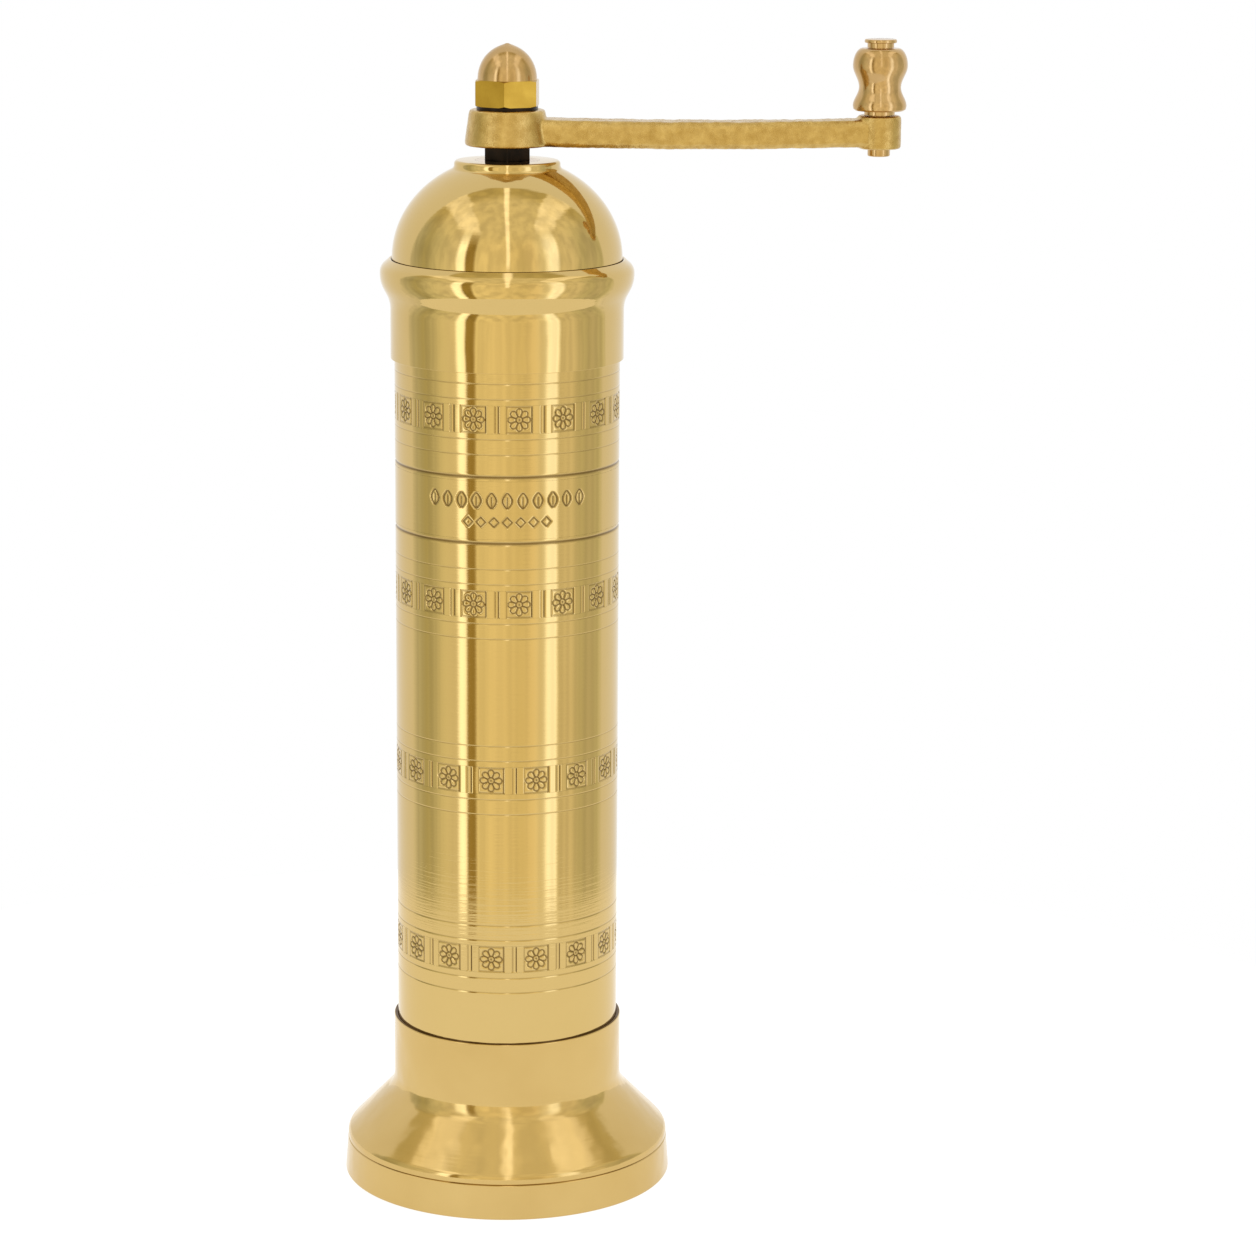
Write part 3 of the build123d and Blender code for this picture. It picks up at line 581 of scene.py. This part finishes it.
# crank, a cast arm between a hub and a boss, made one by a voxel remesh
crank = {"hubLow": 8.4, "hubHigh": 7.4, "hubTall": 7.1, "hubRounds": (0.5, 0.6), "hubRings": 64,
         "bossR": 4.3, "bossTall": 6.5, "bossRounds": (0.4, 0.5), "bossRings": 48,
         "armRoot": 9.0, "armEnd": 7.0, "armThick": 5.3, "armLift": 0.2, "armCuts": 15, "bow": 0.55,
         "bevel": 0.9, "bevelFrom": 1.2, "voxel": 0.26, "smooth": 6, "roughness": 0.08, "hubRoughness": 0.25,
         "roughFrom": 8, "roughRise": 6, "roughStop": 2, "roughFall": 5,
         "lumps": ((0.3, 1.2), (1.0, 1.0), (2.3, 0.5)), "hole": 5.1, "holeTall": 30}


def joinTurned(mesh, outline, rings, axisX):
    part = turnedBmesh(outline, rings, axisX)
    data = bpy.data.meshes.new("scratch")
    part.to_mesh(data)
    part.free()
    mesh.from_mesh(data)
    bpy.data.meshes.remove(data)


# cuts a piece with a closed shape, or keeps only what is inside that shape
def carve(piece, shape, operation, sharpAngle):
    data = bpy.data.meshes.new("cutter")
    shape.to_mesh(data)
    shape.free()
    tool = bpy.data.objects.new("cutter", data)
    bpy.context.scene.collection.objects.link(tool)
    carving = piece.modifiers.new("carving", "BOOLEAN")
    carving.operation = operation
    carving.object = tool
    settle(piece)
    bpy.data.objects.remove(tool)
    piece.data.shade_smooth()
    piece.data.set_sharp_from_angle(angle=math.radians(sharpAngle))


def buildCrank():
    low, high = (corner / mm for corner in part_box("crank_arm"))
    bossX = high.x - crank["bossR"]
    hubLow = high.z - crank["hubTall"]
    mesh = bmesh.new()
    bmesh.ops.create_cube(mesh, size=1.0)
    lengthwise = [edge for edge in mesh.edges if abs(edge.verts[0].co.x - edge.verts[1].co.x) > 0.5]
    bmesh.ops.subdivide_edges(mesh, edges=lengthwise, cuts=crank["armCuts"], use_grid_fill=True)
    armLow = hubLow + crank["armLift"]
    for vert in mesh.verts:
        along = vert.co.x + 0.5
        wide = crank["armRoot"] + (crank["armEnd"] - crank["armRoot"]) * along
        sag = crank["bow"] * 4 * along * (1 - along)
        height = armLow + (vert.co.z + 0.5) * crank["armThick"] - sag
        vert.co = Vector((along * bossX, vert.co.y * wide, height)) * mm
    corners = [edge for edge in mesh.edges if edge.is_manifold
               and edge.calc_face_angle() > crank["bevelFrom"]
               and abs(edge.verts[0].co.x - edge.verts[1].co.x) > mm]
    bmesh.ops.bevel(mesh, geom=corners, offset=crank["bevel"] * mm, offset_type="OFFSET", segments=1,
                    profile=0.5, affect="EDGES", material=-1)
    lowRound, highRound = crank["hubRounds"]
    joinTurned(mesh, roundedOutline([(0, hubLow), (crank["hubLow"], hubLow, lowRound),
                                     (crank["hubHigh"], high.z, highRound), (0, high.z)]),
               crank["hubRings"], 0)
    lowRound, highRound = crank["bossRounds"]
    bossTop = low.z + crank["bossTall"]
    joinTurned(mesh, roundedOutline([(0, low.z), (crank["bossR"], low.z, lowRound),
                                     (crank["bossR"], bossTop, highRound), (0, bossTop)]),
               crank["bossRings"], bossX * mm)
    piece = finishPiece("crankArm", mesh, castBrass, 30)
    remesh = piece.modifiers.new("oneCasting", "REMESH")
    remesh.mode = "VOXEL"
    remesh.voxel_size = crank["voxel"] * mm
    settle(piece)

    mesh = bmesh.new()
    mesh.from_mesh(piece.data)
    for _ in range(crank["smooth"]):
        bmesh.ops.smooth_vert(mesh, verts=mesh.verts, factor=0.5,
                              use_axis_x=True, use_axis_y=True, use_axis_z=True)
    mesh.normal_update()
    for vert in mesh.verts:
        x = vert.co.x / mm
        rising = min(1.0, max(0.0, (x - crank["roughFrom"]) / crank["roughRise"]))
        falling = min(1.0, max(0.0, (bossX - crank["roughStop"] - x) / crank["roughFall"]))
        share = crank["hubRoughness"] + (1 - crank["hubRoughness"]) * rising * falling
        spot = Vector(vert.co) / mm
        lumps = sum(noise.noise(spot * scale) * strength for scale, strength in crank["lumps"])
        vert.co += vert.normal * (lumps * crank["roughness"] * share) * mm
    mesh.to_mesh(piece.data)
    mesh.free()

    squareHole = bmesh.new()
    bmesh.ops.create_cube(squareHole, size=1.0)
    hole = crank["hole"] * mm
    bmesh.ops.transform(squareHole, verts=squareHole.verts,
                        matrix=Matrix.Translation((0, 0, hubLow * mm)) @
                        Matrix.Rotation(math.radians(45), 4, "Z") @
                        Matrix.Diagonal((hole, hole, crank["holeTall"] * mm, 1)))
    carve(piece, squareHole, "DIFFERENCE", 50)
    place(piece, "crank", "brass_cast", "crank_arm")
    return bossX


bossX = buildCrank()
print("crank made")

# knob, turned to a bulb over a flange, and the rivet that it spins on
knob = {"flange": 5.25, "flangeAt": 0.9, "edge": ((0.5, 0.0), (0.12, 0.3)), "neck": 4.1, "neckAt": 4.5,
        "bulb": 5.35, "bulbAt": 8.7, "top": 3.4, "bore": 2.25, "steps": 12, "rings": 96}
rivet = {"pinR": 2.2, "collarR": 3.0, "collarTall": 0.7, "play": 0.1, "neckR": 2.6, "headR": 3.15,
         "headTall": 0.7, "round": 0.3, "headRound": 0.15, "rings": 64, "cornerSteps": 5}


def buildKnob():
    low, high = (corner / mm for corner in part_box("knob"))
    steps = knob["steps"]
    outline = [(knob["bore"], low.z)]
    outline += [(knob["flange"] - inward, low.z + up) for inward, up in knob["edge"]]
    stops = [(knob[part + "At"], knob[part]) for part in ("flange", "neck", "bulb")]
    for (startZ, startR), (endZ, endR) in zip(stops, stops[1:]):
        for step in range(steps):
            share = step / steps
            ease = (1 - math.cos(math.pi * share)) / 2
            outline.append((startR + (endR - startR) * ease, low.z + startZ + (endZ - startZ) * share))
    capHeight = high.z - low.z - knob["bulbAt"]
    for step in range(steps + 1):
        angle = math.pi / 2 * step / steps
        outline.append((knob["top"] + (knob["bulb"] - knob["top"]) * math.cos(angle),
                        low.z + knob["bulbAt"] + capHeight * math.sin(angle)))
    outline.append((knob["bore"], high.z))
    mesh = turnedBmesh(outline, knob["rings"], bossX * mm)
    place(finishPiece("turnedKnob", mesh, turnedBrass), "knob", "brass_turned", "knob")

    pinLow, pinHigh = (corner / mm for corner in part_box("knob_rivet"))
    collarTop = low.z - rivet["play"]
    collarLow = collarTop - rivet["collarTall"]
    neckLow = high.z + rivet["play"]
    headLow = pinHigh.z - rivet["headTall"]
    outline = roundedOutline([
        (0, pinLow.z), (rivet["pinR"], pinLow.z, rivet["round"]),
        (rivet["pinR"], collarLow), (rivet["collarR"], collarLow),
        (rivet["collarR"], collarTop), (rivet["pinR"], collarTop),
        (rivet["pinR"], neckLow), (rivet["neckR"], neckLow), (rivet["neckR"], headLow),
        (rivet["headR"], headLow, rivet["headRound"]), (rivet["headR"], pinHigh.z, rivet["round"]),
        (0, pinHigh.z)], steps=rivet["cornerSteps"])
    mesh = turnedBmesh(outline, rivet["rings"], bossX * mm)
    place(finishPiece("knobRivet", mesh, turnedBrass), "crank", "brass_turned", "knob_rivet")


buildKnob()
print("knob made")

# nut, a hexagon under a dome that comes to a low point
nut = {"flats": 11.86, "hexHeight": 5.1, "chamfer": 0.55, "turned": 25.0, "step": 0.13, "bore": 2.55,
       "boreDepth": 8.05, "domeSteps": 18, "blunt": 0.08, "roundness": 0.93, "point": 0.45,
       "tip": 0.3, "tipDrop": 0.02, "rings": 144, "cutterTall": 40, "cutterUp": 5, "domeFrom": 0.02}


def buildNut():
    low, high = (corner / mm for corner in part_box("acorn_nut"))
    cornerR = nut["flats"] / math.sqrt(3)
    chamfer = nut["chamfer"]
    hexTop = low.z + nut["hexHeight"]
    boreTop = low.z + nut["boreDepth"]
    domeR = nut["flats"] / 2 - nut["step"]
    outline = [(nut["bore"], low.z), (cornerR - chamfer, low.z), (cornerR, low.z + chamfer / 2),
               (cornerR, hexTop - chamfer / 2), (cornerR - chamfer, hexTop), (domeR, hexTop)]
    height = high.z - hexTop - nut["point"]
    for step in range(1, nut["domeSteps"]):
        share = step / nut["domeSteps"]
        angle = math.pi / 2 * share
        radius = domeR * math.cos(angle) ** nut["roundness"] * (1 - nut["blunt"] * share ** 3)
        outline.append((radius, hexTop + height * math.sin(angle) + nut["point"] * share ** 6))
    outline += [(nut["tip"], high.z - nut["tipDrop"]), (0, high.z), (0, boreTop), (nut["bore"], boreTop)]
    piece = finishPiece("acornNut", turnedBmesh(outline, nut["rings"]), nutBrass, 25)
    hexagon = bmesh.new()
    bmesh.ops.create_cone(hexagon, segments=6, cap_ends=True, radius1=cornerR * mm, radius2=cornerR * mm,
                          depth=nut["cutterTall"] * mm)
    first = hexagon.verts[:][0]
    turn = math.radians(nut["turned"]) - math.atan2(first.co.y, first.co.x)
    bmesh.ops.rotate(hexagon, verts=hexagon.verts, cent=(0, 0, 0), matrix=Matrix.Rotation(turn, 3, "Z"))
    bmesh.ops.translate(hexagon, verts=hexagon.verts, vec=(0, 0, (low.z + nut["cutterUp"]) * mm))
    carve(piece, hexagon, "INTERSECT", 22)
    piece.data.materials.append(turnedBrass)
    for face in piece.data.polygons:
        face.material_index = int(face.center.z > (hexTop + nut["domeFrom"]) * mm)
    place(piece, "nut", "brass_turned", "acorn_nut")


buildNut()
print("nut made")

# return spring, a fixed coil of wire; the real one shortens as the burrs close
spring = {"wireR": 0.45, "turns": 5, "turnSteps": 40, "wireSides": 12}


def buildSpring():
    low, high = (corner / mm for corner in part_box("return_spring"))
    coilR = high.x - spring["wireR"]
    rise = high.z - low.z - 2 * spring["wireR"]
    steps = spring["turns"] * spring["turnSteps"]
    slope = math.atan2(rise / spring["turns"], coilR * fullTurn)
    mesh = bmesh.new()
    bmesh.ops.create_circle(mesh, cap_ends=True, segments=spring["wireSides"], radius=spring["wireR"] * mm)
    bmesh.ops.rotate(mesh, verts=mesh.verts, cent=(0, 0, 0),
                     matrix=Matrix.Rotation(math.pi / 2 + slope, 3, "X"))
    bmesh.ops.translate(mesh, verts=mesh.verts, vec=Vector((coilR, 0, low.z + spring["wireR"])) * mm)
    bmesh.ops.spin(mesh, geom=mesh.verts[:] + mesh.edges[:] + mesh.faces[:], cent=(0, 0, 0),
                   axis=(0, 0, 1), dvec=(0, 0, rise / steps * mm), angle=fullTurn * spring["turns"],
                   steps=steps, use_merge=False, use_duplicate=False)
    bmesh.ops.recalc_face_normals(mesh, faces=mesh.faces)
    piece = place(finishPiece("coilSpring", mesh, zincSteel), "barrel", "steel_bright", "return_spring")
    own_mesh(piece)


buildSpring()
print("spring made")

# CAD nodes that are shown as they are
nodeMetals = {
    polishedBrass: ("foot_floor", "foot_seat"),
    castBrass: ("burr_carrier",),
    turnedBrass: ("lid_bush", "adjuster_screw"),
    darkSteel: ("spindle", "nut_washer", "rotor_washer", "rotor_pin", "thrust_pad", "spring_collar"),
    zincSteel: ("guide_bridge", "guide_rivets", "lower_bridge", "bridge_screws", "carrier_screws",
                "collar_screw"),
    castIron: ("rotor_burr", "stator_burr"),
}
for metal, names in nodeMetals.items():
    for name in names:
        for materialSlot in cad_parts[name].material_slots:
            materialSlot.material = metal
print("inner parts finished")

# studio, a pale room that the brass reflects, and a floor
studio = {
    "floorRadius": 0.225, "floorSides": 96, "floorColour": (0.2, 0.2, 0.2), "floorGlow": 0.9,
    "floorRoughness": 0.9,
    # colour of the walls by degrees from the front towards +X
    "walls": ((-120, (1.0, 1.0, 1.0)), (-104, (0.66, 0.68, 0.60)), (-92, (0.56, 0.55, 0.38)),
              (-80, (0.80, 0.80, 0.64)), (-66, (0.92, 0.90, 0.74)), (-53, (1.0, 0.96, 0.82)),
              (-50, (1.9, 2.0, 2.2)), (-43, (1.9, 2.0, 2.2)), (-41, (0.45, 0.34, 0.12)),
              (-33, (0.42, 0.32, 0.11)), (-31, (1.15, 1.08, 0.82)), (-10, (1.12, 1.04, 0.80)),
              (16, (0.99, 0.91, 0.66)), (27, (1.08, 0.99, 0.77)), (37, (1.2, 1.18, 1.05)),
              (43, (1.7, 1.8, 2.1)), (51, (1.7, 1.8, 2.1)), (54, (0.96, 0.92, 0.76)),
              (68, (0.94, 0.90, 0.77)), (82, (0.76, 0.76, 0.61)), (94, (0.69, 0.68, 0.58)),
              (108, (0.76, 0.77, 0.62)), (120, (1.0, 1.0, 1.0))),
    "backdrop": (1.0, 1.0, 1.0), "backdropFrom": (0.345, 0.385), "backdropLean": 0.17,
    "ceilingFrom": (0.35, 0.75), "ceiling": (0.98, 0.93, 0.74),
    "farCeilingFrom": (0.0, 0.26), "farCeiling": (0.70, 0.63, 0.37),
    "lamp": (1.8, 1.8, 1.9), "stripWidth": (0.016, 0.045), "stripFrom": (-0.14, 0.06), "stripGain": 1.0,
    "windowMiddle": 0.55, "windowHalf": (0.10, 0.15), "windowFrom": (0.58, 0.68), "windowGain": 0.5,
    "windowTones": (0.2, 1.8), "wobble": 0.14, "cloudDetail": 3.0,
    "streaks": 5.0, "streakStretch": (1.6, 1.6, 0.4), "streakDetail": 2.0, "streakFrom": (0.3, 0.7),
    "streakTones": (0.88, 1.12),
}


def mapRange(tree, value, fromMin, fromMax, toMin=0.0, toMax=1.0):
    node = tree.nodes.new("ShaderNodeMapRange")
    node.interpolation_type = "SMOOTHSTEP"
    tree.links.new(value, node.inputs["Value"])
    limits = {"From Min": fromMin, "From Max": fromMax, "To Min": toMin, "To Max": toMax}
    for label, number in limits.items():
        node.inputs[label].default_value = number
    return node.outputs[0]


def buildRoom():
    world = bpy.data.worlds.new("studioRoom")
    bpy.context.scene.world = world
    world.use_nodes = True
    tree = world.node_tree
    coords = tree.nodes.new("ShaderNodeTexCoord").outputs["Generated"]
    apart = tree.nodes.new("ShaderNodeSeparateXYZ")
    tree.links.new(coords, apart.inputs[0])
    x, y, z = apart.outputs
    turn = mathNode(tree, "ARCTAN2", x, mathNode(tree, "MULTIPLY", y, -1.0))
    around = mathNode(tree, "ADD", mathNode(tree, "DIVIDE", turn, fullTurn), 0.5)
    ramp = tree.nodes.new("ShaderNodeValToRGB")
    stops = ramp.color_ramp.elements
    while len(stops) < len(studio["walls"]):
        stops.new(0.5)
    for stop, (degrees, colour) in zip(stops, studio["walls"]):
        stop.position = degrees / 360 + 0.5
        stop.color = (*colour, 1)
    tree.links.new(around, ramp.inputs[0])
    forward = mathNode(tree, "ADD", y, mathNode(tree, "MULTIPLY", z, studio["backdropLean"]))
    ceiling = mixColours(tree, mapRange(tree, forward, *studio["farCeilingFrom"]),
                         studio["ceiling"], studio["farCeiling"])
    room = mixColours(tree, mapRange(tree, z, *studio["ceilingFrom"]), ramp.outputs[0], ceiling)
    aside = mathNode(tree, "ABSOLUTE", x)
    narrow = mapRange(tree, aside, *studio["stripWidth"], 1.0, 0.0)
    strip = mathNode(tree, "MULTIPLY", narrow,
                     mapRange(tree, z, *studio["stripFrom"], 0.0, studio["stripGain"]))
    cloud = noiseNode(tree, coords, studio["streaks"], studio["cloudDetail"])
    wobble = mathNode(tree, "MULTIPLY", mathNode(tree, "SUBTRACT", cloud, 0.5), studio["wobble"])
    fromWindow = mathNode(tree, "ADD", mathNode(tree, "SUBTRACT", aside, studio["windowMiddle"]), wobble)
    window = mapRange(tree, mathNode(tree, "ABSOLUTE", fromWindow), *studio["windowHalf"], 1.0, 0.0)
    window = mathNode(tree, "MULTIPLY", window,
                      mapRange(tree, z, *studio["windowFrom"], 0.0, studio["windowGain"]))
    window = mathNode(tree, "MULTIPLY", window, mixNumbers(tree, cloud, *studio["windowTones"]))
    lit = mixColours(tree, mathNode(tree, "ADD", strip, window), room, studio["lamp"])
    shade = tree.nodes.new("ShaderNodeVectorMath")
    shade.operation = "SCALE"
    tree.links.new(lit, shade.inputs[0])
    upright = tree.nodes.new("ShaderNodeMapping")
    upright.inputs["Scale"].default_value = studio["streakStretch"]
    tree.links.new(coords, upright.inputs[0])
    streaks = noiseNode(tree, upright.outputs[0], studio["streaks"], studio["streakDetail"])
    tree.links.new(mapRange(tree, streaks, *studio["streakFrom"], *studio["streakTones"]),
                   shade.inputs["Scale"])
    surroundings = mixColours(tree, mapRange(tree, forward, *studio["backdropFrom"]),
                              shade.outputs[0], studio["backdrop"])
    sight = tree.nodes.new("ShaderNodeLightPath").outputs["Is Camera Ray"]
    seen = mixColours(tree, sight, surroundings, studio["backdrop"])
    tree.links.new(seen, tree.nodes["Background"].inputs["Color"])


def buildFloor():
    mesh = bmesh.new()
    bmesh.ops.create_circle(mesh, cap_ends=True, segments=studio["floorSides"], radius=studio["floorRadius"])
    data = bpy.data.meshes.new("floor")
    mesh.to_mesh(data)
    mesh.free()
    floor = bpy.data.objects.new("floor", data)
    bpy.context.scene.collection.objects.link(floor)
    pale = bpy.data.materials.new("paleFloor")
    pale.use_nodes = True
    shader = pale.node_tree.nodes["Principled BSDF"]
    shader.inputs["Base Color"].default_value = (*studio["floorColour"], 1)
    shader.inputs["Roughness"].default_value = studio["floorRoughness"]
    shader.inputs["Emission Color"].default_value = (1, 1, 1, 1)
    shader.inputs["Emission Strength"].default_value = studio["floorGlow"]
    data.materials.append(pale)


buildRoom()
buildFloor()

# camera, a long lens a little above the mill
view = {"lens": 113.0, "sensor": 36, "place": (0.15, -771.3, 280.8), "pitch": 12.28, "aside": 1.743}


def buildCamera():
    data = bpy.data.cameras.new("camera")
    data.lens = view["lens"]
    data.sensor_width = view["sensor"]
    camera = bpy.data.objects.new("camera", data)
    bpy.context.scene.collection.objects.link(camera)
    camera.matrix_world = (Matrix.Translation(Vector(view["place"]) * mm) @
                           Matrix.Rotation(math.radians(90 - view["pitch"]), 4, "X") @
                           Matrix.Rotation(math.radians(-view["aside"]), 4, "Y"))
    bpy.context.scene.camera = camera
    bpy.context.scene.view_settings.view_transform = "Standard"


buildCamera()
print("studio and camera made")
